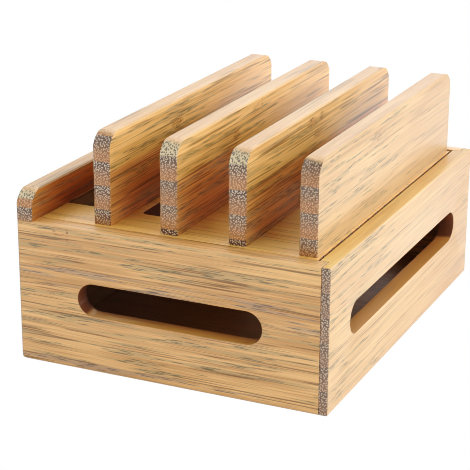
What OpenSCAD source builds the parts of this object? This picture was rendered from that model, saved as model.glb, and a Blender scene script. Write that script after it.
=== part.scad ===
// Charging station organizer: a slotted bamboo box and a lift-off deck with upright dividers.
// The origin is the middle of the footprint, on the floor. +Z is up and the short slotted face is at -Y.

/* [Box] */
// Width of the box, across the dividers
box_w = 190; // [185:1:230]
// Depth of the box, along the dividers
box_d = 250; // [235:1:300]
// Height of the box boards
box_h = 84.5; // [78:0.5:110]
// Thickness of the front, left and right boards
board_t = 10; // [9:0.5:12]
// Thickness of the back board
back_t = 8; // [7:0.5:12]
// Thickness of the lip that the right board laps over the ends of the front and back boards
lap_t = 5; // [3:0.5:7]
// Size of the eased edges
edge_ease = 0.8; // [0.4:0.1:1.2]

/* [Cable slots in the boards] */
// Height of the round-ended slots
slot_h = 19.4; // [14:0.2:24]
// Height of the slots' centre line above the lower edge of the boards
slot_z = 43.2; // [38:0.2:48]
// Length of the slots in the front and back boards
end_slot_w = 112.8; // [80:0.4:130]
// Length of the slot in the right board
side_slot_w = 186; // [120:1:200]

/* [Base] */
// Thickness of the base board
base_t = 5; // [4:0.5:6]
// Height of the base board above the lower edge of the box
base_lift = 4; // [3:0.5:6]
// Depth that the base board enters the grooves of the four boards
groove_depth = 4; // [2:0.5:5]
// Clearance round the base board in its grooves
groove_gap = 0.15; // [0.1:0.05:0.3]

/* [Feet] */
// Diameter of a rubber foot
foot_d = 14; // [10:1:20]
// Height that the feet stand proud of the box
foot_proud = 1.5; // [1:0.5:3]
// Distance from the boards' inner faces to the centre of a foot
foot_inset = 14; // [11:1:30]
// Bevel round a foot's lower rim
foot_bevel = 1; // [0.5:0.25:2]

/* [Deck] */
// Thickness of the deck
deck_t = 9; // [8:0.5:12]
// Gap between the deck and the front board
deck_front_gap = 0.4; // [0.3:0.1:1.5]
// Gap between the deck and the back board
deck_back_gap = 3.5; // [1:0.5:5]
// Gap between the deck and the left board
deck_left_gap = 0.5; // [0.3:0.1:1.5]
// Gap between the deck and the right board
deck_right_gap = 1; // [0.5:0.1:2]
// Gap between the deck and the ledges that carry it
deck_seat_gap = 0.2; // [0.1:0.05:0.4]

/* [Cable slots in the deck] */
// Length of a deck slot, along the dividers
deck_slot_l = 80; // [50:1:90]
// Distance from the box's front or back face to the nearer end of a deck slot
deck_slot_inset = 39.5; // [30:0.5:45]
// Width of the deck strip between a divider and a slot
deck_slot_margin = 5.3; // [4:0.1:8]
// Corner radius of the deck slots
deck_slot_r = 3; // [2:0.5:5]

/* [Dividers] */
// Thickness of a divider
divider_t = 10.5; // [8:0.5:11]
// Height of the dividers above the deck
divider_h = 53; // [40:0.5:80]
// Distance from one divider to the next
divider_pitch = 41.3; // [39:0.1:43]
// Gap between the last divider and the right board
divider_side_gap = 2.6; // [2.2:0.1:4]
// Set-back of the dividers from the deck's front edge
divider_front_inset = 2.1; // [1:0.1:6]
// Radius of the dividers' upper corners
divider_r = 12; // [6:1:20]

/* [Side rail] */
// Height of the low rail
rail_h = 17.5; // [15:0.5:24]
// Radius of the rail's upper corners
rail_r = 12; // [6:0.5:14]

/* [Ledges] */
// Width of the ledges that carry the deck
ledge_w = 10; // [8:0.5:14]
// Height of the ledges
ledge_h = 10; // [8:0.5:12]
// Gap between a ledge's end and the board beside it
ledge_end_gap = 0.3; // [0.2:0.1:2]

/* [Dowels] */
// Diameter of the dowels
dowel_d = 5; // [4:0.5:6]
// Length of the dowels in the left board's ends
dowel_l = 17; // [15:0.5:22]
// Length of a dowel that enters the front or back board
dowel_grip = 5.2; // [4:0.2:5.6]
// Height of the lower dowels above the lower edge of the box
dowel_low_z = 20; // [16:1:26]
// Height of the upper dowels above the lower edge of the box
dowel_high_z = 64; // [58:1:66]
// Length of the dowels under the side rail
rail_dowel_l = 18; // [14:1:22]
// Distance from the box's front or back face to the nearer rail dowel
rail_dowel_inset = 45; // [30:1:60]
// Radial clearance of a dowel in its bore
dowel_gap = 0.05; // [0.03:0.01:0.1]

/* [Screws] */
// Diameter of the screws' shanks
screw_d = 3.4; // [3:0.1:4]
// Diameter of the screws' heads
screw_head_d = 6.8; // [6:0.1:7.6]
// Depth that a screw enters a divider
divider_screw_grip = 19; // [14:1:28]
// Depth that a screw enters the front or back board
ledge_screw_grip = 5.4; // [4.5:0.1:5.8]
// Distance from a divider's end to its first screw
divider_screw_inset = 28; // [22:1:40]
// Distance from a ledge's end to its first screw
ledge_screw_inset = 25; // [18:1:40]
// Radial clearance of a screw in its hole
screw_gap = 0.08; // [0.05:0.01:0.15]
// Depth of a screw head below the surface
screw_sink = 0.4; // [0.2:0.1:0.8]

/* [Hidden] */
$fn = 64;

// Colours
tan_bamboo = [0.80, 0.62, 0.40];
pale_bamboo = [0.92, 0.80, 0.62];
gold_bamboo = [0.84, 0.66, 0.38];
light_bamboo = [0.90, 0.76, 0.56];
beech = [0.86, 0.72, 0.52];
zinc = [0.72, 0.72, 0.70];
grey_rubber = [0.30, 0.30, 0.31];

// Outer and inner faces of the box
x_left = -box_w / 2;
x_right = box_w / 2;
y_front = -box_d / 2;
y_back = box_d / 2;
z_foot = foot_proud;
z_rim = z_foot + box_h;
x_in_left = x_left + board_t;
x_in_right = x_right - board_t;
y_in_front = y_front + board_t;
y_in_back = y_back - back_t;
x_lap = x_right - lap_t;
z_slot = z_foot + slot_z;
z_base = z_foot + base_lift;

// Edges of the deck
deck_x0 = x_in_left + deck_left_gap;
deck_x1 = x_in_right - deck_right_gap;
deck_y0 = y_in_front + deck_front_gap;
deck_y1 = y_in_back - deck_back_gap;
deck_z0 = z_rim - deck_t;

// Ends of the dividers and the places of their screws
divider_count = 4;
divider_y0 = deck_y0 + divider_front_inset;
divider_l = deck_y1 - divider_y0;
function divider_x(i) =
    x_in_right - divider_side_gap - divider_t - (divider_count - i) * divider_pitch;
function divider_screw_y(k) =
    divider_y0 + divider_screw_inset + k * (divider_l / 2 - divider_screw_inset);

// Ledges under the deck's front and back edges
ledge_x0 = x_in_left + ledge_end_gap;
ledge_l = x_in_right - ledge_end_gap - ledge_x0;
ledge_z = deck_z0 - deck_seat_gap - ledge_h;
function ledge_screw_x(k) = ledge_x0 + ledge_screw_inset + k * (ledge_l / 2 - ledge_screw_inset);

// The rail is as thick as the left board that it stands on, with dowels on their centre line
rail_dowel_x = x_left + board_t / 2;
rail_dowel_span = box_d - 2 * rail_dowel_inset;
function rail_dowel_y(k) = y_front + rail_dowel_inset + k * rail_dowel_span / 2;
bore_spare = 0.4;
dowel_bevel = 0.5;

// Screws have a countersunk head, a plain shank and a short point
screw_head_h = (screw_head_d - screw_d) / 2;
screw_point = 3;
divider_screw_l = deck_t + divider_screw_grip - screw_sink;
ledge_screw_l = ledge_w + ledge_screw_grip - screw_sink;
recess_w = 0.9;
recess_l = screw_head_d * 0.62;
recess_deep = 1.2;
mouth = 1;

// One or two points for a corner at [x, y], cut back by c along the signed directions
function corner(x, y, dx, dy, c, across_first) =
    c <= 0 ? [[x, y]] :
    across_first ? [[x + dx * c, y], [x, y + dy * c]] :
    [[x, y + dy * c], [x + dx * c, y]];

// Outline of a rectangle whose corners are cut back, counted from the origin anticlockwise
function eased_outline(a, b, c) = concat(
    corner(0, 0, 1, 1, c[0], false),
    corner(a, 0, -1, 1, c[1], true),
    corner(a, b, -1, -1, c[2], false),
    corner(0, b, 1, -1, c[3], true)
);

sharp = [0, 0, 0, 0];
eased = [edge_ease, edge_ease, edge_ease, edge_ease];
outer_right = [0, edge_ease, edge_ease, 0];

// A board from the origin whose long edges along X, Y and Z are eased as listed
module eased_board(size, along_x, along_y, along_z) {
    intersection() {
        rotate([90, 0, 90])
            linear_extrude(size.x)
                polygon(eased_outline(size.y, size.z, along_x));
        translate([0, size.y, 0])
            rotate([90, 0, 0])
                linear_extrude(size.y)
                    polygon(eased_outline(size.x, size.z, along_y));
        linear_extrude(size.z)
            polygon(eased_outline(size.x, size.y, along_z));
    }
}

// A round-ended cutter with its length along X, its height along Y and its depth along Z
module slot_cutter(length, height, depth) {
    straight = length - height;
    cube([straight, height, depth], center = true);
    for (side = [-1, 1])
        translate([side * straight / 2, 0, 0])
            cylinder(h = depth, d = height, center = true);
}

// The slot through the front or back board, whose middle plane is at y
module end_slot(y) {
    translate([0, y, z_slot])
        rotate([90, 0, 0])
            slot_cutter(end_slot_w, slot_h, 2 * board_t);
}

// The slot through the right board
module side_slot() {
    translate([x_right - board_t / 2, 0, z_slot])
        rotate([90, 0, 90])
            slot_cutter(side_slot_w, slot_h, 2 * board_t);
}

// The base board grown by a clearance, which also cuts its grooves
module base_shape(gap) {
    inset = groove_depth + gap;
    translate([x_in_left - inset, y_in_front - inset, z_base - gap])
        cube([
            x_in_right - x_in_left + 2 * inset,
            y_in_back - y_in_front + 2 * inset,
            base_t + 2 * gap
        ]);
}

// A dowel along +Z from the origin, with bevelled ends
module dowel(length) {
    r = dowel_d / 2;
    cylinder(h = dowel_bevel, r1 = r - dowel_bevel, r2 = r);
    translate([0, 0, dowel_bevel])
        cylinder(h = length - 2 * dowel_bevel, r = r);
    translate([0, 0, length - dowel_bevel])
        cylinder(h = dowel_bevel, r1 = r, r2 = r - dowel_bevel);
}

module dowel_bore(length) {
    cylinder(h = length, r = dowel_d / 2 + dowel_gap);
}

// A screw along +Z, whose head lies just below the surface at the origin
module screw(length) {
    difference() {
        translate([0, 0, screw_sink]) {
            cylinder(h = screw_head_h, r1 = screw_head_d / 2, r2 = screw_d / 2);
            cylinder(h = length - screw_point, r = screw_d / 2);
            translate([0, 0, length - screw_point])
                cylinder(h = screw_point, r1 = screw_d / 2, r2 = screw_d / 8);
        }
        for (turn = [0, 90])
            rotate([0, 0, turn])
                translate([-recess_l / 2, -recess_w / 2, screw_sink - mouth])
                    cube([recess_l, recess_w, mouth + recess_deep]);
    }
}

// The hole that a screw needs, open at the surface at the origin
module screw_hole(length) {
    translate([0, 0, -mouth])
        cylinder(h = mouth + screw_sink, r = screw_head_d / 2 + screw_gap);
    translate([0, 0, screw_sink])
        cylinder(h = screw_head_h, r1 = screw_head_d / 2 + screw_gap, r2 = screw_d / 2 + screw_gap);
    cylinder(h = screw_sink + length + bore_spare, r = screw_d / 2 + screw_gap);
}

// Places of the dowels in the left board's ends: children point into the end boards
module at_corner_dowels() {
    for (z = [dowel_low_z, dowel_high_z]) {
        translate([x_left + board_t / 2, y_in_front, z_foot + z])
            rotate([90, 0, 0])
                children();
        translate([x_left + board_t / 2, y_in_back, z_foot + z])
            rotate([-90, 0, 0])
                children();
    }
}

module corner_dowel_bores() {
    at_corner_dowels()
        translate([0, 0, dowel_grip - dowel_l - bore_spare])
            dowel_bore(dowel_l + 2 * bore_spare);
}

module at_rail_dowels() {
    for (k = [0, 1, 2])
        translate([rail_dowel_x, rail_dowel_y(k), z_rim - rail_dowel_l / 2])
            children();
}

module rail_dowel_bores() {
    at_rail_dowels()
        translate([0, 0, -bore_spare])
            dowel_bore(rail_dowel_l + 2 * bore_spare);
}

// Places of the ledge screws: children point out through the ledges into the end boards
module at_ledge_screws() {
    for (k = [0, 1, 2]) {
        translate([ledge_screw_x(k), y_in_front + ledge_w, ledge_z + ledge_h / 2])
            rotate([90, 0, 0])
                children();
        translate([ledge_screw_x(k), y_in_back - ledge_w, ledge_z + ledge_h / 2])
            rotate([-90, 0, 0])
                children();
    }
}

// Places of the screws of divider i, which point up from the deck's underside
module at_divider_screws(i) {
    for (k = [0, 1, 2])
        translate([divider_x(i) + divider_t / 2, divider_screw_y(k), deck_z0])
            children();
}

// A bar along Y that stands on z, with its two upper corners rounded off
module round_cornered_bar(x, y, z, thick, length, height, r) {
    translate([x, y, z])
        intersection() {
            eased_board([thick, length, height], sharp, [0, 0, edge_ease, edge_ease], eased);
            rotate([90, 0, 90])
                linear_extrude(thick) {
                    square([length, height - r]);
                    translate([r, 0])
                        square([length - 2 * r, height]);
                    for (v = [r, length - r])
                        translate([v, height - r])
                            circle(r = r);
                }
        }
}

// A board across the box, between y0 and y0 + thick, that runs into the right board's lap
module cross_board(y0, thick, along_x, along_z) {
    translate([x_left, y0, z_foot])
        eased_board([x_lap - x_left, thick, box_h], along_x, [edge_ease, 0, 0, 0], along_z);
}

module front_board() {
    color(tan_bamboo)
        difference() {
            cross_board(y_front, board_t, [edge_ease, 0, 0, edge_ease], [edge_ease, 0, 0, 0]);
            end_slot(y_front + board_t / 2);
            base_shape(groove_gap);
            corner_dowel_bores();
            at_ledge_screws() screw_hole(ledge_screw_l);
        }
}

module back_board() {
    color(tan_bamboo)
        difference() {
            cross_board(y_in_back, back_t, [0, edge_ease, edge_ease, 0], [0, 0, 0, edge_ease]);
            end_slot(y_back - back_t / 2);
            base_shape(groove_gap);
            corner_dowel_bores();
            at_ledge_screws() screw_hole(ledge_screw_l);
        }
}

module left_board() {
    color(pale_bamboo)
        difference() {
            translate([x_left, y_in_front, z_foot])
                eased_board([board_t, y_in_back - y_in_front, box_h], sharp, [edge_ease, 0, 0, 0], sharp);
            base_shape(groove_gap);
            corner_dowel_bores();
            rail_dowel_bores();
        }
}

module right_board() {
    color(pale_bamboo)
        difference() {
            translate([x_in_right, y_front, z_foot])
                eased_board([board_t, box_d, box_h], eased, outer_right, outer_right);
            translate([x_in_right - mouth, y_front - mouth, z_foot - mouth])
                cube([board_t - lap_t + mouth, board_t + mouth, box_h + 2 * mouth]);
            translate([x_in_right - mouth, y_in_back, z_foot - mouth])
                cube([board_t - lap_t + mouth, back_t + mouth, box_h + 2 * mouth]);
            side_slot();
            base_shape(groove_gap);
        }
}

module base_board() {
    color(light_bamboo) base_shape(0);
}

module side_rail() {
    color(light_bamboo)
        difference() {
            round_cornered_bar(x_left, y_front, z_rim, board_t, box_d, rail_h, rail_r);
            rail_dowel_bores();
        }
}

module ledge(y0) {
    translate([ledge_x0, y0, ledge_z])
        cube([ledge_l, ledge_w, ledge_h]);
}

module front_ledge() {
    color(light_bamboo)
        difference() {
            ledge(y_in_front);
            at_ledge_screws() screw_hole(ledge_screw_l);
        }
}

module back_ledge() {
    color(light_bamboo)
        difference() {
            ledge(y_in_back - ledge_w);
            at_ledge_screws() screw_hole(ledge_screw_l);
        }
}

module corner_dowels() {
    color(beech)
        at_corner_dowels()
            translate([0, 0, dowel_grip - dowel_l])
                dowel(dowel_l);
}

module rail_dowels() {
    color(beech) at_rail_dowels() dowel(rail_dowel_l);
}

module ledge_screws() {
    color(zinc) at_ledge_screws() screw(ledge_screw_l);
}

// A rubber foot stuck under the base board; side and end are -1 or 1
module foot(side, end) {
    x = side < 0 ? x_in_left + foot_inset : x_in_right - foot_inset;
    y = end < 0 ? y_in_front + foot_inset : y_in_back - foot_inset;
    color(grey_rubber)
        translate([x, y, 0]) {
            cylinder(h = foot_bevel, r1 = foot_d / 2 - foot_bevel, r2 = foot_d / 2);
            translate([0, 0, foot_bevel])
                cylinder(h = z_base - foot_bevel, r = foot_d / 2);
        }
}

module foot_front_left() { foot(-1, -1); }
module foot_front_right() { foot(1, -1); }
module foot_back_left() { foot(-1, 1); }
module foot_back_right() { foot(1, 1); }

// A deck slot between two x values; the front pair and the back pair of bays are staggered
module deck_slot(x0, x1, y0) {
    r = deck_slot_r;
    translate([x0, y0, deck_z0 - mouth])
        linear_extrude(deck_t + 2 * mouth) {
            translate([r, 0])
                square([x1 - x0 - 2 * r, deck_slot_l]);
            translate([0, r])
                square([x1 - x0, deck_slot_l - 2 * r]);
            for (u = [r, x1 - x0 - r], v = [r, deck_slot_l - r])
                translate([u, v])
                    circle(r = r);
        }
}

module deck() {
    front_y = y_front + deck_slot_inset;
    back_y = y_back - deck_slot_inset - deck_slot_l;
    color(gold_bamboo)
        difference() {
            translate([deck_x0, deck_y0, deck_z0])
                cube([deck_x1 - deck_x0, deck_y1 - deck_y0, deck_t]);
            deck_slot(deck_x0 - 2 * deck_slot_r, divider_x(1) - deck_slot_margin, front_y);
            for (i = [2, 3, 4])
                deck_slot(
                    divider_x(i - 1) + divider_t + deck_slot_margin,
                    divider_x(i) - deck_slot_margin,
                    i == 2 ? front_y : back_y
                );
            for (i = [1:divider_count])
                at_divider_screws(i) screw_hole(divider_screw_l);
        }
}

module divider(i) {
    color(light_bamboo)
        difference() {
            round_cornered_bar(divider_x(i), divider_y0, z_rim, divider_t, divider_l, divider_h, divider_r);
            at_divider_screws(i) screw_hole(divider_screw_l);
        }
}

module divider_1() { divider(1); }
module divider_2() { divider(2); }
module divider_3() { divider(3); }
module divider_4() { divider(4); }

module divider_screws() {
    color(zinc)
        for (i = [1:divider_count])
            at_divider_screws(i) screw(divider_screw_l);
}

front_board();
back_board();
left_board();
right_board();
base_board();
side_rail();
front_ledge();
back_ledge();
corner_dowels();
rail_dowels();
ledge_screws();
foot_front_left();
foot_front_right();
foot_back_left();
foot_back_right();
deck();
divider_1();
divider_2();
divider_3();
divider_4();
divider_screws();
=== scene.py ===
import math

import bmesh
import bpy
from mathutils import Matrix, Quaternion, Vector


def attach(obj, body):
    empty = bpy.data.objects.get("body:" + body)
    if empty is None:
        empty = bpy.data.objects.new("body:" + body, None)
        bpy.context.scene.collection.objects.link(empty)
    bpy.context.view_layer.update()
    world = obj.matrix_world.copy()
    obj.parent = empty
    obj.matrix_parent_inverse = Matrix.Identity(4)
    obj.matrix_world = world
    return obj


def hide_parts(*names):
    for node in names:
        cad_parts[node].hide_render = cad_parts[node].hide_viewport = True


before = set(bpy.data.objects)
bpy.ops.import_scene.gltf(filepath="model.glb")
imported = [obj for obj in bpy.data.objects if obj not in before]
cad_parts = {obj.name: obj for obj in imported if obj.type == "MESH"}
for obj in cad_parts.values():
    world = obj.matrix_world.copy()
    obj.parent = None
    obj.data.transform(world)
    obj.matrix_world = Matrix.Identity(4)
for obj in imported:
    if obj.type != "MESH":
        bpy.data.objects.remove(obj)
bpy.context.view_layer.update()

MM = 0.001
X, Y, Z = 0, 1, 2


# ---- Shader building -------------------------------------------------------------------------


class Socket:
    """A node's output that takes Python's operators. Each operator adds a Math node."""

    def __init__(self, shader, output):
        self.shader = shader
        self.output = output

    def math(self, operation, *others):
        made = self.shader.node("ShaderNodeMath", {"operation": operation})
        for socket, value in zip(made.inputs, (self, *others)):
            self.shader.feed(socket, value)
        return Socket(self.shader, made.outputs[0])

    def swapped(self, operation, other):
        made = self.shader.node("ShaderNodeMath", {"operation": operation})
        self.shader.feed(made.inputs[0], other)
        self.shader.feed(made.inputs[1], self)
        return Socket(self.shader, made.outputs[0])

    def __add__(self, other):
        return self.math("ADD", other)

    def __radd__(self, other):
        return self.math("ADD", other)

    def __sub__(self, other):
        return self.math("SUBTRACT", other)

    def __rsub__(self, other):
        return self.swapped("SUBTRACT", other)

    def __mul__(self, other):
        return self.math("MULTIPLY", other)

    def __rmul__(self, other):
        return self.math("MULTIPLY", other)

    def __truediv__(self, other):
        return self.math("DIVIDE", other)

    def __rtruediv__(self, other):
        return self.swapped("DIVIDE", other)

    def __pow__(self, other):
        return self.math("POWER", other)

    def __neg__(self):
        return self.math("MULTIPLY", -1.0)

    def __abs__(self):
        return self.math("ABSOLUTE")

    def floor(self):
        return self.math("FLOOR")

    def fract(self):
        return self.math("FRACT")

    def least(self, other):
        return self.math("MINIMUM", other)

    def most(self, other):
        return self.math("MAXIMUM", other)

    def ramp(self, low, high, start=0.0, end=1.0):
        """A smooth step from start at low to end at high."""
        made = self.shader.node(
            "ShaderNodeMapRange",
            {"interpolation_type": "SMOOTHSTEP"},
            {"Value": self, "From Min": low, "From Max": high, "To Min": start, "To Max": end},
        )
        return Socket(self.shader, made.outputs["Result"])


class Shader:
    """One material's node tree."""

    def __init__(self, name):
        self.material = bpy.data.materials.new(name)
        self.material.use_nodes = True
        self.tree = self.material.node_tree
        self.tree.nodes.clear()

    def feed(self, socket, value):
        if isinstance(value, Socket):
            self.tree.links.new(value.output, socket)
        elif value is not None:
            socket.default_value = value

    def node(self, kind, settings=None, inputs=None):
        made = self.tree.nodes.new(kind)
        for name, value in (settings or {}).items():
            setattr(made, name, value)
        for name, value in (inputs or {}).items():
            self.feed(made.inputs[name], value)
        return made

    def out(self, kind, settings=None, inputs=None, output=0):
        return Socket(self, self.node(kind, settings, inputs).outputs[output])

    def mix(self, share, first, second):
        """A colour between first and second."""
        made = self.node("ShaderNodeMix", {"data_type": "RGBA"})
        self.feed(made.inputs[0], share)
        self.feed(made.inputs[6], first)
        self.feed(made.inputs[7], second)
        return Socket(self, made.outputs[2])

    def blend(self, kind, share, first, second):
        made = self.node("ShaderNodeMix", {"data_type": "RGBA", "blend_type": kind})
        self.feed(made.inputs[0], share)
        self.feed(made.inputs[6], first)
        self.feed(made.inputs[7], second)
        return Socket(self, made.outputs[2])

    def vector(self, x, y, z):
        return self.out("ShaderNodeCombineXYZ", None, {"X": x, "Y": y, "Z": z})

    def noise(self, x, y, z, detail=2.0, roughness=0.5):
        return self.out(
            "ShaderNodeTexNoise",
            {"noise_dimensions": "3D"},
            {
                "Vector": self.vector(x, y, z),
                "Scale": 1.0,
                "Detail": detail,
                "Roughness": roughness,
            },
        )

    def cells(self, x, y, z, output="Distance", randomness=1.0):
        return self.out(
            "ShaderNodeTexVoronoi",
            {"voronoi_dimensions": "3D", "feature": "F1"},
            {"Vector": self.vector(x, y, z), "Scale": 1.0, "Randomness": randomness},
            output,
        )

    def pores(self, x, y):
        """Distance to the nearest of the dots on an end."""
        return self.out(
            "ShaderNodeTexVoronoi",
            {"voronoi_dimensions": "2D", "feature": "F1"},
            {"Vector": self.vector(x, y, 0.0), "Scale": 1.0, "Randomness": 0.8},
            "Distance",
        )

    def random(self, value):
        return self.out("ShaderNodeTexWhiteNoise", {"noise_dimensions": "1D"}, {"W": value})

    def finish(self, color, roughness, height=None, strength=0.2, distance=0.0002, **constants):
        """The surface. Constants go on the shader's own sockets."""
        surface = self.node("ShaderNodeBsdfPrincipled", None, {"Base Color": color})
        self.feed(surface.inputs["Roughness"], roughness)
        for name, value in constants.items():
            surface.inputs[name.replace("_", " ")].default_value = value
        if height is not None:
            bump = self.node(
                "ShaderNodeBump",
                None,
                {"Strength": strength, "Distance": distance, "Height": height},
            )
            self.tree.links.new(bump.outputs["Normal"], surface.inputs["Normal"])
        end = self.node("ShaderNodeOutputMaterial")
        self.tree.links.new(surface.outputs["BSDF"], end.inputs["Surface"])
        return self.material


def srgb(red, green, blue):
    """A colour from its 0 to 255 display values."""

    def linear(value):
        value /= 255
        return value / 12.92 if value <= 0.04045 else ((value + 0.055) / 1.055) ** 2.4

    return (linear(red), linear(green), linear(blue), 1.0)


# ---- Bamboo ----------------------------------------------------------------------------------


def bamboo(
    name,
    grain,
    stack,
    seed,
    strip=13.8,
    phase=0.0,
    light=(240, 184, 116),
    deep=(206, 148, 84),
    top=None,
    painted_shade_below=None,
    patches=0.5,
    streak_fade_and_far_shade=None,
    sill=(214, 160, 96),
    streaks=0.75,
    threads=1.8,
    green=0.0,
    cream=None,
    grey_ends=0.0,
    knuckles=(),
    slot_half=None,
    painted_shade_height=None,
):
    """Laminated bamboo: strips stacked along one axis, their fibres along another.

    The fibres are one solid pattern, so they show as dots on the ends and as streaks on the sides.
    """
    s = Shader(name)
    across = 3 - grain - stack
    place = s.out("ShaderNodeTexCoord", output="Object")
    facing = s.out("ShaderNodeTexCoord", output="Normal")
    parts = s.node("ShaderNodeSeparateXYZ", None, {"Vector": place})
    axes = [Socket(s, parts.outputs[i]) * 1000.0 for i in range(3)]
    g, v, t = axes[grain], axes[stack], axes[across]
    turned = s.node("ShaderNodeSeparateXYZ", None, {"Vector": facing})
    faces = [abs(Socket(s, turned.outputs[i])) for i in range(3)]
    end_share = faces[grain].ramp(0.35, 0.62)
    up_share = Socket(s, turned.outputs[Z]).ramp(0.6, 0.9)

    wave = s.noise(g / 160.0, v / 50.0, t / 60.0 + seed, 1.0)
    lane = v + (wave - 0.5) * 2.0
    count = (v - phase) / strip
    index = count.floor()
    rise = count.fract()
    chance = s.random(index + seed * 7.13)
    second = s.random(index + seed * 3.77 + 50.0)

    # the side of a strip: fine threads, slow bands, hair lines and a dark line where two strips meet
    dense = rise.ramp(0.15, 1.0) ** 1.3
    thread = s.noise(t / 1.5 + seed, lane / 0.55, g / 55.0, 2.0, 0.7)
    band = s.noise(t / 6.0, lane / 1.6 + seed * 2.0, g / 150.0, 2.0, 0.6)
    cloud = s.noise(t / 20.0, lane / 9.0 + seed, g / 70.0 + seed, 2.0)
    tone = (thread - 0.5) * threads + (band - 0.5) * 1.5 + (cloud - 0.5) * 1.3 + chance * 0.3 + 0.34
    tone = tone.ramp(-0.1, 1.1)
    warm = s.mix(tone, srgb(*light), srgb(*deep))
    # Below the given height the sides take a darker colour: painted shade on the lower part of the first three
    # dividers, where the next divider's shadow falls.
    if painted_shade_below:
        lower = s.mix(tone, srgb(*painted_shade_below[1]), srgb(*painted_shade_below[2]))
        warm = s.mix(v.ramp(painted_shade_below[0] - 0.4, painted_shade_below[0] + 0.4), lower, warm)
    # Upward faces near the top take their own lighter colour: partly the wood's own top faces, partly painted
    # light. Upward faces lower down, such as the slot floors, take a warmer colour of their own: painted light.
    if top:
        crest = up_share * axes[Z].ramp(70.0, 74.0)
        warm = s.mix(crest, warm, s.mix(tone, srgb(*top[0]), srgb(*top[1])))
        warm = s.mix(up_share - crest, warm, srgb(*sill))
    hair = abs(s.noise(t / 3.0 + seed * 3.0, lane / 1.2, g / 170.0 + seed, 1.0, 0.5) - 0.5)
    sparse = s.noise(t / 9.0, lane / 2.5, g / 70.0 - seed, 1.0)
    hair = hair.ramp(0.02, 0.09, 1.0, 0.0) * sparse.ramp(0.5, 0.58)
    body = s.mix(hair * (streaks - up_share * 0.4).most(0.12), warm, srgb(104, 66, 40))
    joint = abs(rise - 0.5).ramp(0.468, 0.492) * s.noise(t / 9.0, v / 9.0, g / 25.0 + seed, 1.0).ramp(0.42, 0.6)
    body = s.mix(joint * (0.65 - faces[stack] * 0.65), body, srgb(134, 84, 56))

    # clusters of short grey fibres, most of them under the upper edge of a strip
    spread = s.noise(t / 9.0 + seed, lane / 2.3, g / 50.0 + seed * 1.7, 1.5, 0.5)
    amount = dense * 0.10 + patches * 0.12 - up_share * 0.3
    if streak_fade_and_far_shade:
        amount = amount + g.ramp(streak_fade_and_far_shade[0], streak_fade_and_far_shade[1], 0.03, -0.12)
    patch = (spread + amount).ramp(0.63, 0.69)
    dash = s.cells(t / 0.9 + seed * 11.0, lane / 0.72, g / 12.0 + index * 3.7)
    stray = s.cells(t / 1.3 + seed * 5.0, lane / 1.05, g / 30.0 + seed)
    line = dash.ramp(0.27, 0.4, 1.0, 0.0)
    lone = stray.ramp(0.14, 0.22, 1.0, 0.0) * (amount * 2.0 + spread - 0.5).ramp(0.14, 0.34, 0.0, 0.75)
    lone = lone * (1.0 - up_share)
    olive = second.ramp(0.35, 0.65).most(green)
    grey = s.mix(olive, srgb(98, 84, 76), srgb(104, 96, 66))
    haze = s.mix(olive, srgb(172, 144, 118), srgb(188, 158, 108))
    side = s.mix(patch * 0.6, body, haze)
    side = s.mix((patch * line * 0.85 + lone).least(0.85), side, grey)

    # the knots of the cane: torn brown marks in a small warm spot
    for along, level, half_long, half_high, power in knuckles:
        reach = (((g - along) / half_long) ** 2.0 + ((v - level) / half_high) ** 2.0).ramp(0.2, 1.0, 1.0, 0.0)
        reach = reach * (1.0 - up_share)
        curl = s.noise(v / 3.0 + along, g / 3.0, seed, 0.0) * 3.0
        torn = s.noise(v / 0.9 + curl, g / 3.2 + curl, t / 4.0 + along, 1.0, 0.5).ramp(0.52, 0.62)
        side = s.mix(reach * 0.35 * power, side, srgb(206, 142, 86))
        side = s.mix((reach * torn * power).least(0.75), side, srgb(116, 76, 46))

    # the end of a strip: dots of fibre, sparse in tan at its lower edge, crowded in grey at its top
    pore = s.pores(t * 0.70 - v * 0.40 + seed, t * 0.40 + v * 0.70)
    coarse = s.noise(t / 3.0, v / 2.2 + seed, seed, 1.0)
    crowd = (rise + (coarse - 0.5) * 0.2).ramp(0.1, 0.95)
    tan = s.mix(grey_ends, srgb(170, 122, 86), srgb(130, 108, 94))
    tan_dots = s.mix(grey_ends, srgb(218, 168, 122), srgb(196, 172, 150))
    fill = s.mix(crowd, tan, s.mix(second, srgb(120, 100, 88), srgb(96, 80, 76)))
    pip = s.mix(crowd, tan_dots, s.mix(second, srgb(202, 182, 154), srgb(226, 210, 186)))
    ends = s.mix(pore.ramp(0.2, 0.42, 1.0, 0.0), fill, pip)
    ends = s.blend("MULTIPLY", 1.0, ends, s.mix(chance, (1.08, 1.05, 1.0, 1), (0.88, 0.84, 0.82, 1)))
    dot = pore.ramp(0.26, 0.42, 1.0, 0.0)
    if cream:
        crown = v.ramp(cream - 0.3, cream + 0.3)
        ends = s.mix(crown, ends, s.mix(dot * 0.85, srgb(226, 206, 166), srgb(92, 84, 74)))
    if slot_half:
        walls = abs(g).ramp(slot_half - 1.0, slot_half + 1.0, 0.92, 0.0)
        ends = s.mix(walls, ends, srgb(128, 80, 50))

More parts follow.
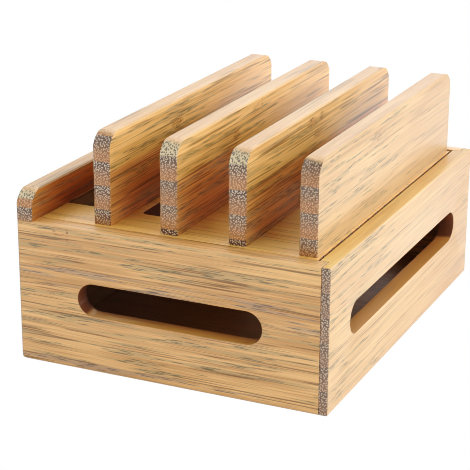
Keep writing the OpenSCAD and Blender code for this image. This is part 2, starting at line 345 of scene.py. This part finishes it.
    color = s.mix(end_share, side, ends)
    # A lighter colour on the rounded edges of the sides: a painted highlight.
    edge = faces[X].most(faces[Y]).most(faces[Z]).ramp(0.72, 0.985, 1.0, 0.0)
    color = s.mix(edge * 0.4 * (1.0 - end_share), color, srgb(244, 206, 150))
    # Darker towards the back end: painted shade.
    if streak_fade_and_far_shade:
        color = s.blend("MULTIPLY", g.ramp(10.0, 110.0), color, (0.90, 0.84, 0.78, 1.0))
    # Inside the box, below the given height, the colour is darkened: painted shade.
    if painted_shade_height:
        hollow = abs(axes[X]).ramp(85.2, 85.8, 1.0, 0.0) * abs(axes[Y]).ramp(114.6, 117.4, 1.0, 0.0)
        painted_inside_shade = hollow * axes[Z].ramp(painted_shade_height - 0.6, painted_shade_height, 1.0, 0.0) * axes[Z].ramp(3.0, 6.0)
        color = s.blend("MULTIPLY", painted_inside_shade, color, (0.40, 0.34, 0.30, 1.0))
        # A grey line along the bottom edge, and along the left end where the grain runs along X: painted shade on
        # the rounded edges.
        painted_edge_shade = axes[Z].ramp(1.7, 2.8, 1.0, 0.0)
        if grain == X:
            painted_edge_shade = painted_edge_shade.most(axes[X].ramp(-94.7, -93.3, 1.0, 0.0))
        color = s.mix(painted_edge_shade * 0.5, color, srgb(124, 114, 102))
    rough = 0.42 + thread * 0.14 + end_share * 0.2
    height = thread * 0.6 + line * patch * 0.3 * (1.0 - end_share) + pore * 0.6 * end_share
    return s.finish(
        color,
        rough,
        height,
        0.2,
        0.0002,
        Coat_Weight=0.8,
        Coat_Roughness=0.3,
        Specular_IOR_Level=0.5,
    )


def metal(name):
    s = Shader(name)
    place = s.out("ShaderNodeTexCoord", output="Object")
    parts = s.node("ShaderNodeSeparateXYZ", None, {"Vector": place})
    x, y, z = [Socket(s, parts.outputs[i]) * 1000.0 for i in range(3)]
    cloud = s.noise(x / 1.5, y / 1.5, z / 1.5, 4.0)
    scratch = s.noise(x / 0.12, y / 2.0, z / 0.12, 2.0)
    color = s.mix(cloud, srgb(170, 168, 160), srgb(206, 205, 198))
    return s.finish(color, 0.28 + cloud * 0.2, scratch * 0.5 + cloud * 0.5, 0.15, 0.0001, Metallic=1.0)


def rubber(name):
    s = Shader(name)
    place = s.out("ShaderNodeTexCoord", output="Object")
    parts = s.node("ShaderNodeSeparateXYZ", None, {"Vector": place})
    x, y, z = [Socket(s, parts.outputs[i]) * 1000.0 for i in range(3)]
    grain = s.noise(x / 0.35, y / 0.35, z / 0.35, 3.0)
    dust = s.noise(x / 6.0, y / 6.0, z / 6.0, 3.0)
    color = s.mix(dust.ramp(0.4, 0.8), srgb(30, 30, 31), srgb(54, 53, 52))
    return s.finish(color, 0.62 + grain * 0.25, grain, 0.3, 0.0001)


# ---- Pieces ----------------------------------------------------------------------------------


HEEL_BOARDS = ("front_board", "back_board", "left_board")


def round_heel(bm, radius=3.6):
    """Rounds the box's lower left edge with two flats, which the softening of the edges joins."""
    centre = Vector((-95.0 + radius, 0.0, 1.5 + radius)) * MM
    for tilt in (30, 60):
        outward = Vector((-math.cos(math.radians(tilt)), 0.0, -math.sin(math.radians(tilt))))
        cut = bmesh.ops.bisect_plane(
            bm,
            geom=bm.verts[:] + bm.edges[:] + bm.faces[:],
            dist=1e-7,
            plane_co=centre + outward * radius * MM,
            plane_no=outward,
            clear_outer=True,
        )
        rim = [item for item in cut["geom_cut"] if isinstance(item, bmesh.types.BMEdge)]
        filled = bmesh.ops.holes_fill(bm, edges=rim, sides=0)
        for face in filled["faces"]:
            face.normal_update()
            if face.normal.dot(outward) < 0:
                face.normal_flip()


def soften(node, name, body, material, width=0.45):
    """A copy of a CAD board whose loose triangles are merged and whose edges are rounded over."""
    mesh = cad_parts[node].data.copy()
    mesh.name = name
    bm = bmesh.new()
    bm.from_mesh(mesh)
    bmesh.ops.remove_doubles(bm, verts=bm.verts, dist=1e-6)
    bmesh.ops.dissolve_limit(
        bm,
        angle_limit=math.radians(0.5),
        verts=bm.verts,
        edges=bm.edges,
        use_dissolve_boundaries=False,
        delimit={"NORMAL"},
    )
    if node in HEEL_BOARDS:
        round_heel(bm)
    weights = bm.edges.layers.float.new("bevel_weight_edge")
    for edge in bm.edges:
        if len(edge.link_faces) == 2 and edge.calc_face_angle(0.0) > math.radians(25):
            edge[weights] = 1.0
    bm.to_mesh(mesh)
    bm.free()
    mesh.materials.clear()
    mesh.materials.append(material)
    made = bpy.data.objects.new(name, mesh)
    bpy.context.scene.collection.objects.link(made)
    mesh.shade_smooth()
    rounded = made.modifiers.new("edges", "BEVEL")
    rounded.limit_method = "WEIGHT"
    rounded.width = width * MM
    rounded.segments = 3
    rounded.loop_slide = False
    rounded.use_clamp_overlap = node not in HEEL_BOARDS
    rounded.harden_normals = True
    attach(made, body)
    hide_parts(node)
    return made


def dress(node, material):
    """A CAD node that stays as it is, with its own finish."""
    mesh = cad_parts[node].data
    mesh.materials.clear()
    mesh.materials.append(material)


# Colours for the upward faces near the top: partly the wood's own tone, partly painted light.
GOLDEN_TOP = ((250, 214, 130), (238, 186, 102))
CREAM_TOP = ((246, 206, 154), (228, 180, 124))
TAN_TOP = ((255, 210, 144), (250, 188, 118))
TAN = dict(light=(242, 194, 128), deep=(202, 148, 88), top=TAN_TOP, painted_shade_height=77.2)
# Paler wood for the side boards and the fourth divider: partly the wood's own tone, partly a painted sheen.
PALE = dict(light=(226, 193, 141), deep=(210, 168, 115), streaks=0.25, green=0.8)
SIDE = dict(top=GOLDEN_TOP, sill=(222, 162, 100), grey_ends=0.8, **PALE)
DIVIDER = dict(top=CREAM_TOP, streak_fade_and_far_shade=(-30, 60), patches=0.3)
# Lighter golden colours above 117 mm and darker ones below: painted light on the upper part of the first three
# dividers and painted shade on their lower part.
LIT_ABOVE_SHADED_BELOW = dict(threads=2.4, light=(252, 212, 142), deep=(220, 170, 102), painted_shade_below=(117.0, (246, 190, 128), (204, 142, 88)))
# Darker brown sides for the rail: painted shade for its inner face, which lies in the first divider's shadow.
SHADED_RAIL = dict(light=(206, 140, 82), deep=(170, 106, 56))
BOARDS = {
    "front_board": (
        "board_bamboo",
        "box",
        X,
        Z,
        dict(
            seed=1.0,
            phase=6.3,
            slot_half=58,
            knuckles=((-62.5, 82.0, 1.2, 6.0, 0.7), (-68.0, 82.5, 5.0, 3.0, 0.5), (-73.0, 46.5, 5.0, 3.0, 0.4)),
            **TAN,
        ),
    ),
    "back_board": ("board_bamboo", "box", X, Z, dict(seed=2.0, phase=3.0, slot_half=58, **TAN)),
    "left_board": ("side_bamboo", "box", Y, Z, dict(seed=3.0, phase=8.0, patches=0.25, painted_shade_height=86.0, **SIDE)),
    "right_board": (
        "side_bamboo",
        "box",
        Y,
        Z,
        dict(seed=4.0, strip=14.0, phase=2.0, patches=0.2, streak_fade_and_far_shade=(-60, 40), slot_half=95, painted_shade_height=77.2, **SIDE),
    ),
    "side_rail": ("divider_bamboo", "box", Y, Z, dict(seed=5.0, phase=11.1, patches=0.1, cream=98.5, top=CREAM_TOP, **SHADED_RAIL)),
    # The deck's brighter golden colour is partly painted light.
    "deck": (
        "deck_bamboo",
        "lid",
        X,
        Y,
        dict(seed=6.0, phase=5.0, slot_half=80, light=(255, 214, 132), deep=(250, 192, 108), patches=-0.2),
    ),
    "divider_1": (
        "divider_bamboo",
        "lid",
        Y,
        Z,
        dict(seed=7.0, phase=12.3, knuckles=((-28.0, 125.5, 9.0, 3.5, 0.9),), **DIVIDER, **LIT_ABOVE_SHADED_BELOW),
    ),
    "divider_2": (
        "divider_bamboo",
        "lid",
        Y,
        Z,
        dict(
            seed=8.0,
            strip=13.9,
            phase=5.9,
            cream=131.0,
            knuckles=((3.0, 133.5, 1.1, 6.0, 0.8), (-4.0, 133.0, 10.0, 4.0, 0.5), (-34.5, 124.5, 5.0, 4.5, 1.0)),
            **DIVIDER,
            **LIT_ABOVE_SHADED_BELOW,
        ),
    ),
    "divider_3": (
        "divider_bamboo",
        "lid",
        Y,
        Z,
        dict(
            seed=9.0,
            strip=14.0,
            phase=5.5,
            cream=131.4,
            knuckles=((-20.0, 132.5, 8.0, 4.0, 1.0), (-4.5, 133.5, 3.5, 3.5, 1.0), (-10.5, 124.0, 7.0, 2.8, 0.9)),
            **DIVIDER,
            **LIT_ABOVE_SHADED_BELOW,
        ),
    ),
    "divider_4": (
        "divider_bamboo",
        "lid",
        Y,
        Z,
        dict(
            seed=10.0,
            strip=14.4,
            phase=9.6,
            knuckles=((-21.0, 131.0, 11.0, 5.5, 0.5),),
            **DIVIDER,
            **PALE,
        ),
    ),
}
for node, (slot_name, body, grain, stack, looks) in BOARDS.items():
    finish = bamboo("bamboo_" + node, grain, stack, **looks)
    soften(node, node + "_board", body, finish)

hidden_bamboo = bamboo("bamboo_batten", X, Z, 12.0, painted_shade_height=77.2)
base_bamboo = bamboo("bamboo_base", X, Y, 13.0, painted_shade_height=77.2)
for node in ("front_ledge", "back_ledge"):
    dress(node, hidden_bamboo)
dress("base_board", base_bamboo)
dowel_wood = bamboo("dowel_wood", Z, X, 14.0, patches=0.0)
dress("corner_dowels", dowel_wood)
dress("rail_dowels", dowel_wood)
steel = metal("zinc_steel")
dress("ledge_screws", steel)
dress("divider_screws", steel)
black = rubber("foot_rubber")
for end in ("front", "back"):
    for side in ("left", "right"):
        dress(f"foot_{end}_{side}", black)


# ---- Floor, light and camera -----------------------------------------------------------------


def direction(azimuth, elevation):
    """Where a softbox hangs: azimuth 0 is in front of the organizer, 90 on its right."""
    a, e = math.radians(azimuth), math.radians(elevation)
    return Vector((math.sin(a) * math.cos(e), -math.cos(a) * math.cos(e), math.sin(e)))


def see_white(tree, other):
    """The camera sees plain white, and everything else sees the other shader."""
    white = tree.nodes.new("ShaderNodeBackground" if other.type == "BACKGROUND" else "ShaderNodeEmission")
    path = tree.nodes.new("ShaderNodeLightPath")
    mix = tree.nodes.new("ShaderNodeMixShader")
    tree.links.new(path.outputs["Is Camera Ray"], mix.inputs["Fac"])
    tree.links.new(other.outputs[0], mix.inputs[1])
    tree.links.new(white.outputs[0], mix.inputs[2])
    white.inputs["Color"].default_value = (1.0, 1.0, 1.0, 1.0)
    white.inputs["Strength"].default_value = 1.0
    return mix


# azimuth, elevation, half width, half height (degrees) and radiance of each softbox
SOFTBOXES = (
    (94, 34, 44, 24, 2.8),
    (-30, 46, 46, 26, 1.1),
    (205, 45, 22, 20, 2.0),
    (275, 45, 22, 20, 1.4),
    (120, 4, 30, 30, 3.0),
    (180, 4, 30, 30, 1.7),
    (240, 4, 30, 30, 1.2),
    (310, 4, 40, 30, 1.1),
)


def studio(boxes):
    world = bpy.data.worlds.new("studio")
    bpy.context.scene.world = world
    world.use_nodes = True
    sky = Shader.__new__(Shader)
    sky.tree = world.node_tree
    sky.tree.nodes.clear()
    toward = sky.out("ShaderNodeTexCoord", output="Generated")

    def along(vector):
        made = sky.node("ShaderNodeVectorMath", {"operation": "DOT_PRODUCT"})
        sky.feed(made.inputs[0], toward)
        made.inputs[1].default_value = vector
        return Socket(sky, made.outputs["Value"])

    glow = 0.0
    for azimuth, elevation, wide, high, radiance in boxes:
        centre = direction(azimuth, elevation)
        right = direction(azimuth + 90, 0)
        across = along(right / math.sin(math.radians(wide)))
        upward = along(centre.cross(right) / math.sin(math.radians(high)))
        facing = along(centre).ramp(0.0, 0.1)
        reach = (across * across + upward * upward) ** 0.5
        glow = glow + reach.ramp(0.55, 1.35, radiance, 0.0) * facing
    glow = glow * along(Vector((0, 0, 1))).ramp(-0.002, 0.002)
    air = sky.node("ShaderNodeBackground", None, {"Strength": glow})
    end = sky.node("ShaderNodeOutputWorld")
    sky.tree.links.new(see_white(sky.tree, air).outputs[0], end.inputs["Surface"])


studio(SOFTBOXES)

floor_shader = Shader("floor_white")
floor_paint = floor_shader.node("ShaderNodeBsdfDiffuse", None, {"Color": (0.9, 0.9, 0.9, 1)})
floor_glow = floor_shader.node("ShaderNodeEmission", None, {"Color": (1, 1, 1, 1), "Strength": 0.26})
floor_sum = floor_shader.node("ShaderNodeAddShader")
floor_end = floor_shader.node("ShaderNodeOutputMaterial")
floor_shader.tree.links.new(floor_paint.outputs[0], floor_sum.inputs[0])
floor_shader.tree.links.new(floor_glow.outputs[0], floor_sum.inputs[1])
floor_white = see_white(floor_shader.tree, floor_sum)
floor_shader.tree.links.new(floor_white.outputs[0], floor_end.inputs["Surface"])
bm = bmesh.new()
bmesh.ops.create_grid(bm, x_segments=2, y_segments=2, size=6.0)
floor_mesh = bpy.data.meshes.new("floor")
bm.to_mesh(floor_mesh)
bm.free()
floor = bpy.data.objects.new("floor", floor_mesh)
bpy.context.scene.collection.objects.link(floor)
floor.data.materials.append(floor_shader.material)

scene = bpy.context.scene
scene.cycles.filter_width = 1.0
scene.view_settings.view_transform = "Standard"
scene.view_settings.look = "None"
scene.view_settings.use_curve_mapping = True
toe = scene.view_settings.curve_mapping.curves[3]
for light_in, light_out in ((0.03, 0.013), (0.08, 0.052), (0.16, 0.146), (0.3, 0.298), (0.6, 0.603)):
    toe.points.new(light_in, light_out)
scene.view_settings.curve_mapping.update()

# The camera that a fit to the photo's straight edges gave, with no shift.
AZIMUTH, ELEVATION, ROLL = 24.454, 19.067, 0.280
FOCUS_PIXELS, FRAME_PIXELS, SENSOR = 1641.5, 470, 36.0
DISTANCE = 0.9794
TARGET = Vector((-2.8, -30.0, 60.7)) * MM
a, e, r = (math.radians(x) for x in (AZIMUTH, ELEVATION, ROLL))
back = Vector((math.sin(a) * math.cos(e), -math.cos(a) * math.cos(e), math.sin(e)))
eye = bpy.data.cameras.new("camera")
camera = bpy.data.objects.new("camera", eye)
scene.collection.objects.link(camera)
scene.camera = camera
eye.sensor_width = SENSOR
eye.lens = FOCUS_PIXELS / FRAME_PIXELS * SENSOR
eye.clip_start, eye.clip_end = 0.05, 50.0
camera.location = TARGET + back * DISTANCE
camera.rotation_mode = "QUATERNION"
camera.rotation_quaternion = Quaternion(back, r) @ (-back).to_track_quat("-Z", "Y")
